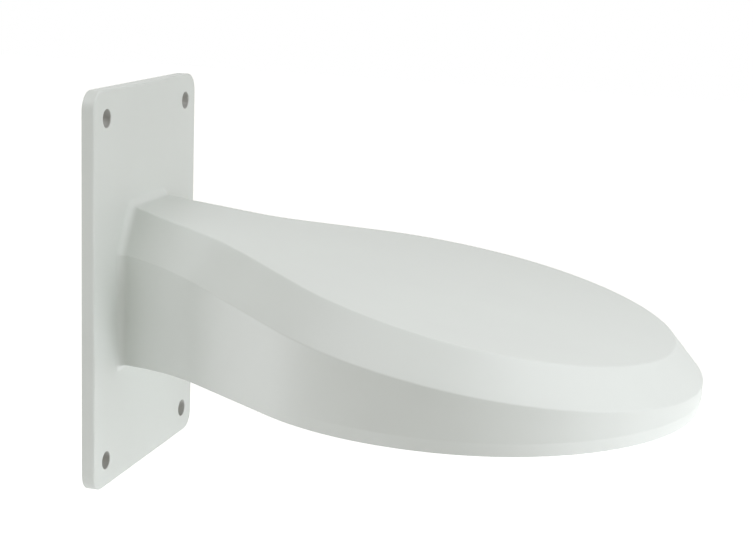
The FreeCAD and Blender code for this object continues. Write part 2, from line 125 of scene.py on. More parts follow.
def line(first: np.ndarray, last: np.ndarray, share: np.ndarray) -> Curve:
    """Points of a straight run, first + share * (last - first), and its direction at each."""
    points = first + share[..., None] * (last - first)
    return points, np.broadcast_to(unit(last - first), points.shape)


def arc(centre: np.ndarray, radius: float, first: float, last: float, share: np.ndarray) -> Curve:
    """Points and directions of a flat arc, centre + radius * (cos, sin) with an even turn.

    Args:
        centre: The arc's centre.
        radius: Its radius.
        first: The angle where it starts.
        last: The angle where it ends.
        share: Shares of the way along it.

    Returns:
        The points and the unit directions.
    """
    angle = first + (last - first) * share
    ray = np.stack([np.cos(angle), np.sin(angle)], axis=-1)
    sense = math.copysign(1.0, last - first)
    return centre + radius * ray, sense * np.stack([-ray[..., 1], ray[..., 0]], axis=-1)


def rounded_edge(
    corner: np.ndarray, first: np.ndarray, second: np.ndarray, radius: float, steps: int
) -> np.ndarray:
    """Rounds an edge between two faces with an arc that touches both.

    The arc's centre lies on the halving line of the two faces, radius / sin(half the angle) away
    from the edge. Its points turn evenly from the first face's touching point to the second's.

    Args:
        corner: Points of the sharp edge, one row each.
        first: Unit directions in the first face, away from the edge and square to it.
        second: Unit directions in the second face, away from the edge and square to it.
        radius: Radius of the rounding.
        steps: Number of steps along the arc.

    Returns:
        The arc's points, steps + 1 for each point of the edge, as steps + 1 rows.
    """
    half = np.arccos(np.clip(np.sum(first * second, axis=-1), -1.0, 1.0))[..., None] / 2
    centre = corner + unit(first + second) * radius / np.sin(half)
    start = unit(corner + first * radius / np.tan(half) - centre)
    end = unit(corner + second * radius / np.tan(half) - centre)
    sweep = np.pi - 2 * half
    share = np.linspace(0.0, 1.0, steps + 1).reshape(-1, *([1] * corner.ndim))
    turned = (np.sin((1 - share) * sweep) * start + np.sin(share * sweep) * end) / np.sin(sweep)
    return centre + radius * turned


@dataclass(frozen=True)
class Outline:
    """A waisted outline with five curves a side, each running smoothly into the next.

    They are the side at the wall, the hollow neck, the straight flank, the full flare and the head.
    Where the neck starts is given only for a side that leaves the wall straight.
    """

    root_line: RootLine
    root_half: float
    opening: float
    neck: float
    flank: float
    flare: float
    centre: float
    head: float
    neck_start: float = 0.0

    def inset(self, depth: float) -> "Outline":
        """The outline that runs a steady depth inside this one.

        Args:
            depth: Distance between the two outlines.

        Returns:
            The inner outline: hollow curves gain the depth, full ones lose it.
        """
        opening = math.radians(self.opening)
        slant = 1.0 if self.root_line is RootLine.CURVED else math.cos(opening)
        return replace(
            self,
            root_half=self.root_half - depth / slant,
            neck=self.neck + depth,
            flare=self.flare - depth,
            head=self.head - depth,
            neck_start=self.neck_start + depth * math.sin(opening),
        )

    def half(self, places: np.ndarray) -> Curve:
        """Points and directions of the outline's +Y half.

        A place counts the curves passed since the wall: 0.5 is the middle of the side, 4 the start
        of the head's arc and 5 its tip. All are arcs but the flank and a straight side. The flare
        touches the head's circle where it first meets it along the flank.

        Args:
            places: Places along the outline, 0 to 5.

        Returns:
            The points and the unit directions, seen from above.
        """
        number = np.clip(np.floor(places), 0, LAST_CURVE)
        share = places - number
        opening, flank = math.radians(self.opening), math.radians(self.flank)
        if self.root_line is RootLine.CURVED:
            neck_centre = np.array([0.0, self.root_half + self.neck])
            side = arc(neck_centre, self.neck, -QUARTER, opening - QUARTER, share)
        else:
            spread = self.neck_start * math.tan(opening)
            neck_centre = np.array([self.neck_start, self.root_half + spread])
            neck_centre = neck_centre + heading(opening + QUARTER) * self.neck
            side_end = neck_centre + heading(opening - QUARTER) * self.neck
            side = line(np.array([0.0, self.root_half]), side_end, share)

        onward, inward = heading(flank), heading(flank - QUARTER)
        neck_end = neck_centre + inward * self.neck
        head_centre = np.array([self.centre, 0.0])
        offset = neck_end + inward * self.flare - head_centre
        along, square = float(offset @ onward), float(offset @ offset)
        run = -along - math.sqrt(along**2 - square + (self.flare - self.head) ** 2)
        flank_end = neck_end + onward * run
        flare_centre = flank_end + inward * self.flare
        touch = math.atan2(-flare_centre[1], self.centre - flare_centre[0])
        curves = [
            side,
            arc(neck_centre, self.neck, opening - QUARTER, flank - QUARTER, share),
            line(neck_end, flank_end, share),
            arc(flare_centre, self.flare, flank + QUARTER, touch, share),
            arc(head_centre, self.head, touch, 0.0, share),
        ]
        tests = [(number == curve)[..., None] for curve in range(len(curves))]
        return (
            np.select(tests, [points for points, _ in curves]),
            np.select(tests, [directions for _, directions in curves]),
        )


@dataclass(frozen=True)
class Slope:
    """A plane that falls away from the wall."""

    rise: float
    fall: float

    @property
    def normal(self) -> np.ndarray:
        """The plane's upward normal."""
        angle = math.radians(self.fall)
        return np.array([math.sin(angle), 0.0, math.cos(angle)])

    @property
    def down(self) -> np.ndarray:
        """The direction down the plane, away from the wall."""
        angle = math.radians(self.fall)
        return np.array([math.cos(angle), 0.0, -math.sin(angle)])

    def lifted(self, flat: np.ndarray) -> np.ndarray:
        """Points of a flat drawing lifted onto the plane: x, y, rise - x * tan(fall)."""
        height = self.rise - flat[..., 0] * math.tan(math.radians(self.fall))
        return np.stack([flat[..., 0], flat[..., 1], height], axis=-1)

    def laid(self, flat: np.ndarray) -> np.ndarray:
        """Points of a drawing made in the plane itself: (0, 0, rise) + x * down + y * across."""
        return flat[..., :1] * self.down + flat[..., 1:] * ACROSS + self.rise * UP


@dataclass(frozen=True)
class BevelledBlock:
    """An upright block over an outline, with a bevel from its shoulder to a flat top.

    Its skin is a set of rows that run along the outline: the rounded foot, the band at the foot,
    the upright wall, the rounded shoulder, the bevel and the rounded top crease. Band and wall have
    a row each, kink_gap away from the kink between them, which keeps it crisp.
    """

    foot: Outline
    walls: Outline
    top: Outline
    foot_height: float
    band_height: float
    shoulder: Slope
    crown: Slope
    foot_round: float
    crease_round: float
    side_steps: int = 10
    neck_steps: int = 20
    flank_steps: int = 10
    flare_steps: int = 20
    head_steps: int = 64
    foot_steps: int = 3
    crease_steps: int = 6
    bevel_steps: int = 8
    band_share: float = 0.4
    wall_shares: tuple[float, ...] = (0.2, 0.4, 0.6, 0.8)
    kink_gap: float = 0.3
    search_from: float = -0.2
    search_steps: int = 400
    probe: float = 0.01

    def rows(self, places: np.ndarray) -> np.ndarray:
        """The rows of the skin at places along the outline, for the +Y half.

        The wall is straight between the band's upper edge and the shoulder, and the bevel joins
        the wall's outline and the flat top's outline place by place with straight lines. A row
        between two others is low + share * (high - low).

        Args:
            places: Places along the outline, 0 to 5, one axis.

        Returns:
            Points by row, from foot to top, and place.
        """
        foot_flat, foot_way = self.foot.half(places)
        wall_flat, wall_way = self.walls.half(places)
        top_flat, top_way = self.top.half(places)
        level = Slope(0.0, 0.0)
        foot = level.lifted(foot_flat) + self.foot_height * UP
        band = level.lifted(wall_flat) + self.band_height * UP
        shoulder = self.shoulder.lifted(wall_flat)
        crown = self.crown.laid(top_flat)

        foot_along = level.lifted(foot_way)
        wall_fall = -math.tan(math.radians(self.shoulder.fall)) * wall_way[..., 0]
        wall_along = unit(np.stack([wall_way[..., 0], wall_way[..., 1], wall_fall], axis=-1))
        crown_along = self.crown.laid(top_way) - self.crown.rise * UP

        foot_arc = rounded_edge(
            foot,
            np.cross(foot_along, UP),
            square_to(band - foot, foot_along),
            self.foot_round,
            self.foot_steps,
        )
        shoulder_arc = rounded_edge(
            shoulder,
            square_to(np.broadcast_to(-UP, shoulder.shape), wall_along),
            square_to(crown - shoulder, wall_along),
            self.crease_round,
            self.crease_steps,
        )
        crown_arc = rounded_edge(
            crown,
            square_to(shoulder - crown, crown_along),
            np.cross(crown_along, self.crown.normal),
            self.crease_round,
            self.crease_steps,
        )

        def between(low: np.ndarray, high: np.ndarray, shares: np.ndarray) -> np.ndarray:
            """Rows at some shares of the way from one row to another."""
            return low + shares[:, None, None] * (high - low)

        band_near = self.kink_gap / (self.band_height - self.foot_height)
        wall_near = self.kink_gap / (self.shoulder.rise - self.band_height)
        bevel_shares = np.linspace(0.0, 1.0, self.bevel_steps + 1)[1:-1]
        return np.concatenate(
            [
                foot_arc,
                between(foot_arc[-1], band, np.array([self.band_share, 1.0 - band_near, 1.0])),
                between(band, shoulder_arc[0], np.array([wall_near, *self.wall_shares])),
                shoulder_arc,
                between(shoulder_arc[-1], crown_arc[0], bevel_shares),
                crown_arc,
            ]
        )

    def picked(self, places: np.ndarray) -> np.ndarray:
        """The skin at places that differ from row to row.

        Args:
            places: Places by row and column.

        Returns:
            Points by row and column.
        """
        count, columns = places.shape
        every = self.rows(places.reshape(-1)).reshape(count, count, columns, 3)
        return every[np.arange(count), np.arange(count)]

    def column(self, places: np.ndarray) -> np.ndarray:
        """The skin's points at one place a row."""
        return self.picked(places[:, None])[:, 0]

    def place_at(self, reach: float | np.ndarray) -> np.ndarray:
        """The place where each row is a given distance from the wall.

        Each row is sampled along its side. The place lies in proportion between the last sample
        that isn't past the distance and the next one.

        Args:
            reach: Distance from the wall, one for all rows or one for each.

        Returns:
            One place for each row.
        """
        places = np.linspace(self.search_from, 1.0, self.search_steps)
        samples = self.rows(places)[..., 0]
        numbers = np.arange(len(samples))
        reach = np.broadcast_to(reach, numbers.shape)
        last = np.sum(samples <= reach[:, None], axis=1) - 1
        low, high = samples[numbers, last], samples[numbers, last + 1]
        return (places[last + 1] - places[last]) / (high - low) * (reach - low) + places[last]

    def normals_at(self, places: np.ndarray) -> np.ndarray:
        """The skin's outward normals at one place a row.

        They are the cross product of the skin's run along the outline, from a probe before the
        place to a probe after it, and its rise from row to row.

        Args:
            places: One place for each row.

        Returns:
            One unit normal for each row.
        """
        ends = self.picked(np.stack([places - self.probe, places + self.probe], axis=1))
        rise = np.gradient(self.column(places), axis=0)
        normals = unit(np.cross(rise, ends[:, 1] - ends[:, 0]))
        normals[0], normals[-1] = -UP, self.crown.normal
        return normals

    def half_skin(self, first_column: np.ndarray) -> np.ndarray:
        """The +Y half of the skin, from a first column near the wall to the head's tip.

        The side's places run evenly from each row's start to 1, and each later curve has its own
        number of even steps.

        Args:
            first_column: One point for each row, where the skin starts.

        Returns:
            Points by row and column.
        """
        starts = self.place_at(first_column[:, 0])
        shares = np.linspace(0.0, 1.0, self.side_steps + 1)
        side = self.picked(starts[:, None] + shares * (1.0 - starts[:, None]))
        side[:, 0] = first_column
        steps = [self.neck_steps, self.flank_steps, self.flare_steps, self.head_steps]
        runs = [np.linspace(0.0, 1.0, count + 1)[1:] for count in steps]
        later = np.concatenate([number + run for number, run in enumerate(runs, start=1)])
        return np.concatenate([side, self.rows(later)], axis=1)


def whole(half: np.ndarray) -> np.ndarray:
    """A half skin and its mirror image, from the -Y root round the head's tip to the +Y root."""
    return np.concatenate([half * MIRROR, half[:, -2::-1]], axis=1)


@dataclass
class Shell:
    """Points and faces of a closed shape, gathered patch by patch."""

    points: list[np.ndarray] = field(default_factory=list)
    faces: list[list[int]] = field(default_factory=list)
    count: int = 0

    def _add(self, points: np.ndarray, faces: np.ndarray) -> None:
        """Adds a patch.

        Args:
            points: The patch's points.
            faces: Its faces, which count from its first point.
        """
        self.points.append(points)
        self.faces.extend((faces + self.count).tolist())
        self.count += len(points)

    def grid(self, points: np.ndarray, closed: bool = False) -> None:
        """Adds a patch of four-sided faces.

        Args:
            points: Points by row and column.
            closed: Whether the last column joins the first.
        """
        rows, columns = points.shape[:2]
        numbers = np.arange(rows * columns).reshape(rows, columns)
        if closed:
            numbers = np.concatenate([numbers, numbers[:, :1]], axis=1)
        corners = [numbers[:-1, :-1], numbers[:-1, 1:], numbers[1:, 1:], numbers[1:, :-1]]
        self._add(points.reshape(-1, 3), np.stack(corners, axis=-1).reshape(-1, 4))

    def cap(self, *loops: np.ndarray) -> None:
        """Adds a flat face with an outer edge and any holes.

        Args:
            loops: Points round the outer edge, then round each hole.
        """
        triangles = tessellate_polygon([loop.tolist() for loop in loops])
        self._add(np.concatenate(loops), np.array(triangles))

    def mesh(self, name: str) -> bpy.types.Mesh:
        """Joins the patches into one closed mesh whose faces look outward.

        Args:
            name: The mesh's name.

        Returns:
            The mesh, in metres.
        """
        mesh = bpy.data.meshes.new(name)
        mesh.from_pydata((np.concatenate(self.points) * MM).tolist(), [], self.faces)
        work = bmesh.new()
        work.from_mesh(mesh)
        bmesh.ops.remove_doubles(work, verts=work.verts, dist=MERGE * MM)
        bmesh.ops.dissolve_degenerate(work, edges=work.edges, dist=MERGE * MM)
        bmesh.ops.recalc_face_normals(work, faces=work.faces)
        open_edges = sum(not edge.is_manifold for edge in work.edges)
        if open_edges:
            LOG.warning("%s has %d open edges", name, open_edges)
        work.to_mesh(mesh)
        work.free()
        return mesh


def ringed(rings: np.ndarray) -> Shell:
    """A closed shape from a stack of rings, with flat ends.

    Args:
        rings: Points by ring and place.

    Returns:
        The shape, as one shell.
    """
    shell = Shell()
    shell.grid(rings, closed=True)
    shell.cap(rings[0])
    shell.cap(rings[-1])
    return shell


def turned(profile: np.ndarray, axis: np.ndarray, origin: np.ndarray, steps: int) -> Shell:
    """A closed shape turned on a lathe: its profile carried round an axis, with flat ends.

    Each point is origin + radius * (cos * side + sin * other) + height * axis, where side and other
    stand square to the axis and to each other.

    Args:
        profile: Radius and height of each ring, from one end to the other.
        axis: The unit direction of the axis.
        origin: The point on the axis at height nought.
        steps: Number of steps round the axis.

    Returns:
        The shape, as one shell.
    """
    side = unit(np.cross(axis, OBLIQUE))
    other = np.cross(axis, side)
    angle = np.linspace(0.0, 2 * np.pi, steps, endpoint=False)[None, :, None]
    ring = np.cos(angle) * side + np.sin(angle) * other
    return ringed(origin + profile[:, 0, None, None] * ring + profile[:, 1, None, None] * axis)


def new_object(name: str, data: bpy.types.ID) -> bpy.types.Object:
    """Makes an object and puts it into the scene.

    Args:
        name: The object's name.
        data: Its mesh, lamp or camera.

    Returns:
        The object.
    """
    item = bpy.data.objects.new(name, data)
    bpy.context.scene.collection.objects.link(item)
    return item


def combined(
    body: bpy.types.Mesh, tools: list[bpy.types.Mesh], operation: Operation
) -> bpy.types.Mesh:
    """A mesh after some tool shapes have been added to it or cut from it.

    Args:
        body: The closed mesh to work on.
        tools: Closed meshes of the tool shapes.
        operation: What the tools do.

    Returns:
        The new mesh.
    """
    carrier = new_object("work", body)
    helpers = [new_object("tool", tool) for tool in tools]
    for helper in helpers:
        modifier = carrier.modifiers.new("tool", "BOOLEAN")
        modifier.operation = operation.value
        modifier.solver = "MANIFOLD"
        modifier.object = helper
    graph = bpy.context.evaluated_depsgraph_get()
    result = bpy.data.meshes.new_from_object(carrier.evaluated_get(graph))
    for item in [carrier, *helpers]:
        bpy.data.objects.remove(item)
    return result


@dataclass(frozen=True)
class WallPlate:
    """The upright plate, with rounded corners and four screw holes."""

    height: float = 150.0
    width: float = 94.5
    thickness: float = 5.0
    corner_radius: float = 7.0
    edge_round: float = 0.8
    screw_inset: float = 10.4
    screw_hole: float = 6.6
    screw_lead: float = 7.0
    corner_steps: int = 16
    edge_steps: int = 4
    screw_steps: int = 48

    @property
    def screw_place(self) -> tuple[float, float]:
        """How far across and how far up from the plate's centre its screw holes are."""
        return self.width / 2 - self.screw_inset, self.height / 2 - self.screw_inset

    def loop(self, inset: np.ndarray, reach: np.ndarray) -> np.ndarray:
        """Loops round the plate, each a rounded rectangle.

        Each corner is centre + (corner radius - inset) * (cos, sin) over a quarter turn.

        Args:
            inset: How far each loop lies inside the plate's outline.
            reach: Each loop's distance from the wall.

        Returns:
            Points by loop and place.
        """
        across, up = self.width / 2 - self.corner_radius, self.height / 2 - self.corner_radius
        quarter = np.linspace(0.0, QUARTER, self.corner_steps + 1)
        angle = (np.arange(4)[:, None] * QUARTER + quarter).reshape(-1)
        centre_y = np.repeat([across, -across, -across, across], self.corner_steps + 1)
        centre_z = np.repeat([up, up, -up, -up], self.corner_steps + 1)
        radius = (self.corner_radius - inset)[:, None]
        points_y = centre_y + radius * np.cos(angle)
        points_z = centre_z + radius * np.sin(angle)
        points_x = np.broadcast_to(reach[:, None], points_y.shape)
        return np.stack([points_x, points_y, points_z], axis=-1)

    def add_to(self, shell: Shell, arm_foot: np.ndarray) -> None:
        """Adds the plate's edge, its back and its front round the arm's foot.

        The front edge is a quarter circle: inset r * (1 - cos), reach thickness - r * (1 - sin).

        Args:
            shell: The shell that the patches go into.
            arm_foot: Points of the loop where the arm's root meets the plate's front.
        """
        turn = np.linspace(0.0, QUARTER, self.edge_steps + 1)
        inset = np.concatenate([[0.0], self.edge_round * (1 - np.cos(turn))])
        reach = np.concatenate([[0.0], self.thickness - self.edge_round * (1 - np.sin(turn))])
        rings = self.loop(inset, reach)
        shell.grid(rings, closed=True)
        shell.cap(rings[0])
        shell.cap(rings[-1], arm_foot)

    def screw_tools(self) -> list[Shell]:
        """Drills for the screw holes: a straight run, then a cone that breaks the front edge.

        Returns:
            One turned shape for each hole.
        """
        radius, lead, front = self.screw_hole / 2, self.screw_lead / 2, self.thickness
        cone = front - (lead - radius)
        profile = np.array([[radius, -OVER], [radius, cone], [lead + OVER, front + OVER]])
        across, up = self.screw_place
        places = [np.array([0.0, y, z]) for y in (-across, across) for z in (-up, up)]
        return [turned(profile, OUT, place, self.screw_steps) for place in places]


@dataclass(frozen=True)
class CameraPosts:
    """The four posts under the head that take the camera's screws, and the webs that hold them."""

    circle: float = 120.0
    diameter: float = 10.0
    recess: float = 0.5
    hole_diameter: float = 3.3
    hole_depth: float = 10.0
    drill_point: float = 118.0
    drill_tip: float = 0.02
    web_thickness: float = 3.0
    web_recess: float = 8.0
    first_bearing: float = 45.0
    count: int = 4
    edge_break: float = 0.4
    top: float = 60.0
    post_steps: int = 48
    hole_steps: int = 32

    def bearings(self) -> list[float]:
        """The posts' bearings round the head, in radians."""
        step = FULL_TURN / self.count
        return [math.radians(self.first_bearing + number * step) for number in range(self.count)]

    def centres(self, head: np.ndarray) -> list[np.ndarray]:
        """The centre of each post, at the height of the camera's seat."""
        return [head + self.circle / 2 * level_ray(angle) for angle in self.bearings()]

    def post_shapes(self, head: np.ndarray) -> list[Shell]:
        """Tall round bars with a broken lower edge.

        Args:
            head: The head's centre, at the height of the camera's seat.

        Returns:
            One turned shape for each post.
        """
        radius, low, lead = self.diameter / 2, self.recess, self.edge_break
        profile = np.array([[radius - lead, low], [radius, low + lead], [radius, self.top]])
        return [turned(profile, UP, place, self.post_steps) for place in self.centres(head)]

    def web_shapes(self, head: np.ndarray, head_radius: float) -> list[Shell]:
        """Tall upright slabs from each post to the head's wall.

        Args:
            head: The head's centre, at the height of the camera's seat.
            head_radius: Radius that the slabs reach to.

        Returns:
            One slab for each post, its four sides swept straight up.
        """
        inner, outer, half = self.circle / 2, head_radius, self.web_thickness / 2
        flat = np.array([[inner, -half], [outer, -half], [outer, half], [inner, half]])
        heights = np.array([head[2] + self.web_recess, self.top])[:, None, None] * UP
        shells = []
        for angle in self.bearings():
            along, across = level_ray(angle), level_ray(angle + QUARTER)
            ring = flat[:, :1] * along + flat[:, 1:] * across + head * OUT
            shells.append(ringed(ring + heights))
        return shells

    def hole_tools(self, head: np.ndarray) -> list[Shell]:
        """Drills for the camera's screws, each with a conical point.

        Args:
            head: The head's centre, at the height of the camera's seat.

        Returns:
            One turned shape for each hole.
        """
        radius, depth = self.hole_diameter / 2, self.recess + self.hole_depth
        point = (radius - self.drill_tip) / math.tan(math.radians(self.drill_point / 2))
        profile = np.array([[radius, -OVER], [radius, depth], [self.drill_tip, depth + point]])
        return [turned(profile, UP, place, self.hole_steps) for place in self.centres(head)]


def feed(tree: bpy.types.NodeTree, node: bpy.types.Node, inputs: Inputs) -> None:
    """Sets a node's inputs to values, or joins them to other nodes' outputs.

    Args:
        tree: The tree that the node is in.
        node: The node.
        inputs: A value or another node's output for each input, by its name or number.
    """
    for key, source in inputs.items():
        if isinstance(source, bpy.types.NodeSocket):
            tree.links.new(source, node.inputs[key])
        else:
            node.inputs[key].default_value = source


def new_node(
    tree: bpy.types.NodeTree, kind: str, inputs: Inputs | None = None, maths: Maths | None = None
) -> bpy.types.Node:
    """Makes a node and feeds its inputs.

    Args:
        tree: The tree that it goes into.
        kind: Its type, without Blender's prefix.
        inputs: What its inputs are fed with.
        maths: What it works out, if it is a maths node.

    Returns:
        The node.
    """
    node = tree.nodes.new(f"ShaderNode{kind}")
    if maths:
        node.operation = maths.value
    feed(tree, node, inputs or {})
    return node


@dataclass(frozen=True)
class PowderCoat:
    """The casting's finish: a pale, even powder coat with a fine orange-peel skin.

    Its screw holes get a darker colour, painted shade that stands in for the shade inside them.
    """

    slot: str = "powder_coat"
    hole_shade: Triple = (0.54, 0.54, 0.52)
    colour: Triple = (0.758, 0.796, 0.763)
    shade: Triple = (0.73, 0.766, 0.735)
    roughness_low: float = 0.40
    roughness_high: float = 0.50
    peel_scale: float = 700.0
    peel_detail: float = 2.0
    peel_depth: float = 0.000012
    peel_strength: float = 0.6
    cloud_scale: float = 22.0
    cloud_detail: float = 3.0
    cloud_low: float = 0.3
    cloud_high: float = 0.7

    def material(self, plate: WallPlate) -> bpy.types.Material:
        """Makes the finish from noise and distances in Object coordinates.

        Args:
            plate: The wall plate, whose screw holes get a darker colour as painted shade.

        Returns:
            A material whose tone and gloss drift slowly, and whose skin has a fine peel.
        """
        material = bpy.data.materials.new(self.slot)
        material.use_nodes = True
        tree = material.node_tree
        place = new_node(tree, "TexCoord").outputs["Object"]

        cloud_inputs = {"Vector": place, "Scale": self.cloud_scale, "Detail": self.cloud_detail}
        cloud = new_node(tree, "TexNoise", cloud_inputs).outputs["Fac"]
        tone = new_node(tree, "ValToRGB", {"Fac": cloud})
        low, high = tone.color_ramp.elements
        low.position, low.color = self.cloud_low, (*self.shade, 1.0)
        high.position, high.color = self.cloud_high, (*self.colour, 1.0)
        gloss_inputs = {
            "Value": cloud,
            "From Min": self.cloud_low,
            "From Max": self.cloud_high,
            "To Min": self.roughness_low,
            "To Max": self.roughness_high,
        }
        gloss = new_node(tree, "MapRange", gloss_inputs)

        # The four holes fold onto one, and its distance is taken in the plate's plane
        folded = new_node(tree, "VectorMath", {0: place}, Maths.ABSOLUTE).outputs["Vector"]
        onto_plate = {0: folded, 1: tuple(ACROSS + UP)}
        flat = new_node(tree, "VectorMath", onto_plate, Maths.MULTIPLY).outputs["Vector"]
        screw = (0.0, *(distance * MM for distance in plate.screw_place))
        away = new_node(tree, "VectorMath", {0: flat, 1: screw}, Maths.DISTANCE).outputs["Value"]
        # Painted shade: inside the screw holes the coat's tone gives way to a darker colour
        hole_shade_mask = new_node(tree, "Math", {0: away, 1: plate.screw_lead / 2 * MM}, Maths.LESS_THAN)
        paint_inputs = {
            "Fac": hole_shade_mask.outputs["Value"],
            "Color1": tone.outputs["Color"],
            "Color2": (*self.hole_shade, 1.0),
        }
        paint = new_node(tree, "MixRGB", paint_inputs)

        peel_inputs = {"Vector": place, "Scale": self.peel_scale, "Detail": self.peel_detail}
        bump_inputs = {
            "Strength": self.peel_strength,
            "Distance": self.peel_depth,
            "Height": new_node(tree, "TexNoise", peel_inputs).outputs["Fac"],
        }
        shader_inputs = {
            "Base Color": paint.outputs["Color"],
            "Roughness": gloss.outputs["Result"],
            "Normal": new_node(tree, "Bump", bump_inputs).outputs["Normal"],
        }
        feed(tree, tree.nodes["Principled BSDF"], shader_inputs)
        return material


@dataclass(frozen=True)
class Casting:
    """The whole bracket in one piece: plate, hollow arm and open round head."""

    plate: WallPlate = WallPlate()
    posts: CameraPosts = CameraPosts()
    finish: PowderCoat = PowderCoat()
    underside_drop: float = 30.0
    top_rise: float = 30.5
    top_slope: float = 10.25
    shoulder_rise: float = 13.8
    shoulder_slope: float = 8.75
    arm_half_width: float = 25.8
    neck_radius: float = 68.5
    flank_angle: float = 35.2
    flank_gap: float = 2.45
    head_radius: float = 84.5
    flare_surplus: float = 13.5
    top_half_width: float = 13.6
    top_opening_angle: float = 17.9
    top_straight_length: float = 39.7
    top_neck_radius: float = 64.0
    top_flank_gap: float = 3.47
    bevel_run: float = 11.4
    rim_height: float = 4.8
    rim_inset: float = 1.0
    crease_radius: float = 1.2
    root_radius: float = 3.0
    wall: float = 3.5
    floor: float = 3.5
    edge_break: float = 0.4
    back_reach: float = 2.0
    mouth_clearance: float = 0.02
    mouth_steps: int = 256
    root_steps: int = 10
    root_turns: int = 4
    line_steps: int = 8
    sharp_angle: float = 28.0

    @property
    def flare_radius(self) -> float:
        """Radius of the full curve from the flank to the head."""
        return self.head_radius + self.flare_surplus

    @property
    def top_head_radius(self) -> float:
        """Radius of the flat top's round end."""
        return self.head_radius - self.bevel_run

    @property
    def recess_radius(self) -> float:
        """Radius of the round space inside the head."""
        return self.head_radius - self.rim_inset - self.wall

    @property
    def head_reach(self) -> float:
        """Distance of the round head's centre from the wall."""
        rise = self.head_radius + self.flank_gap
        return self.round_end(rise, self.neck_radius, self.flank_angle, self.arm_half_width)

    @property
    def seat_centre(self) -> np.ndarray:
        """The head's centre, at the height of the camera's seat."""
        return np.array([self.head_reach, 0.0, -self.underside_drop])

    @property
    def top_head_reach(self) -> float:
        """Distance of the flat top's round end from the wall.

        Returns:
            The distance along the slope: the straight edges' length and the rest past it.
        """
        turn = self.flank_angle - self.top_opening_angle
        rise = self.top_head_radius + self.top_flank_gap
        spread = self.top_straight_length * math.tan(math.radians(self.top_opening_angle))
        past = self.round_end(rise, self.top_neck_radius, turn, self.top_half_width + spread)
        return self.top_straight_length + past

    def round_end(self, rise: float, neck: float, turn: float, half_width: float) -> float:
        """How far past the neck's start a round end lies, so that its gap is kept.

        The distance is (rise + neck * (1 - cos turn) - half width * cos flank) / sin flank.

        Args:
            rise: Radius of the round end and the gap outside it, added up.
            neck: Radius of the neck's hollow curve.
            turn: Angle that the neck turns through, in degrees.
            half_width: Half width of the outline where its neck starts.

        Returns:
            The distance along the outline's middle line.
        """
        flank = math.radians(self.flank_angle)
        hollow = neck * (1 - math.cos(math.radians(turn)))
        return (rise + hollow - half_width * math.cos(flank)) / math.sin(flank)

    def wall_outline(self) -> Outline:
        """Draws the upright wall.

        Returns:
            Its outline, seen from above.
        """
        return Outline(
            root_line=RootLine.CURVED,
            root_half=self.arm_half_width,
            opening=self.top_opening_angle,
            neck=self.neck_radius,
            flank=self.flank_angle,
            flare=self.flare_radius,
            centre=self.head_reach,
            head=self.head_radius,
        )

    def top_outline(self) -> Outline:
        """Draws the flat top.

        Returns:
            Its outline, in its own slope.
        """
        return replace(
            self.wall_outline(),
            root_line=RootLine.STRAIGHT,
            root_half=self.top_half_width,
            neck=self.top_neck_radius,
            centre=self.top_head_reach,
            head=self.top_head_radius,
            neck_start=self.top_straight_length,
        )

    def arm_and_head(self) -> BevelledBlock:
        """Sets out the outside of arm and head.

        Returns:
            The block, whose foot draws in at the head.
        """
        walls = self.wall_outline()
        return BevelledBlock(
            foot=replace(walls, head=self.head_radius - self.rim_inset),
            walls=walls,
            top=self.top_outline(),
            foot_height=-self.underside_drop,
            band_height=self.rim_height - self.underside_drop,
            shoulder=Slope(self.shoulder_rise, self.shoulder_slope),
            crown=Slope(self.top_rise, self.top_slope),
            foot_round=self.edge_break,
            crease_round=self.crease_radius,
        )

    def hollow(self) -> BevelledBlock:
        """Sets out the inside of arm and head, one wall thickness under the outside.

        Returns:
            The block, down to the arm's floor.
        """
        rise = self.top_rise - self.shoulder_rise
        bevel = math.atan2(rise, self.arm_half_width - self.top_half_width)
        shoulder_drop = self.wall * math.tan((QUARTER - bevel) / 2)
        top_drop = self.wall / math.cos(math.radians(self.top_slope))
        walls = replace(self.wall_outline().inset(self.wall), head=self.recess_radius)
        foot = self.floor - self.underside_drop
        return BevelledBlock(
            foot=walls,
            walls=walls,
            top=self.top_outline().inset(self.wall * math.tan(bevel / 2)),
            foot_height=foot,
            band_height=foot + 2 * self.edge_break,
            shoulder=Slope(self.shoulder_rise - shoulder_drop, self.shoulder_slope),
            crown=Slope(self.top_rise - top_drop, self.top_slope),
            foot_round=self.edge_break,
            crease_round=self.edge_break,
        )

    def outside(self) -> Shell:
        """The plate with the solid arm and head on it.

        The root is the track of a ball that rolls round the arm and touches the plate all the way.
        At each place its centre is touch + radius * normal, radius in front of the plate, so the
        touch lies radius * (1 - lean) in front of it. The places are found by turns with the
        normals. The loop of touches runs up one side, across the top, down the other side and back
        along the underside, and each has an arc that turns evenly from the arm to the plate.

        Returns:
            One closed shell.
        """
        block = self.arm_and_head()
        front, radius = self.plate.thickness, self.root_radius
        places = block.place_at(front)
        for _ in range(self.root_turns):
            places = block.place_at(front + radius * (1 - block.normals_at(places)[:, 0]))
        side, side_normals = block.column(places), block.normals_at(places)
        shares = np.linspace(0.0, 1.0, self.line_steps + 1)[1:-1]
        over_top, _ = line(side[-1], side[-1] * MIRROR, shares)
        under_foot, _ = line(side[0] * MIRROR, side[0], shares)
        flat = np.ones((len(shares), 1))
        touch = np.concatenate([side, over_top, side[::-1] * MIRROR, under_foot])
        normals = np.concatenate(
            [side_normals, flat * block.crown.normal, side_normals[::-1] * MIRROR, flat * -UP]
        )
        centre = touch + radius * normals
        centre[:, 0] = front + radius
        sweep = np.arccos(normals[:, :1])
        turn = np.linspace(0.0, 1.0, self.root_steps + 1)[:, None, None] * sweep
        spokes = np.sin(sweep - turn) * (touch - centre) - np.sin(turn) * radius * OUT
        root = centre + spokes / np.sin(sweep)

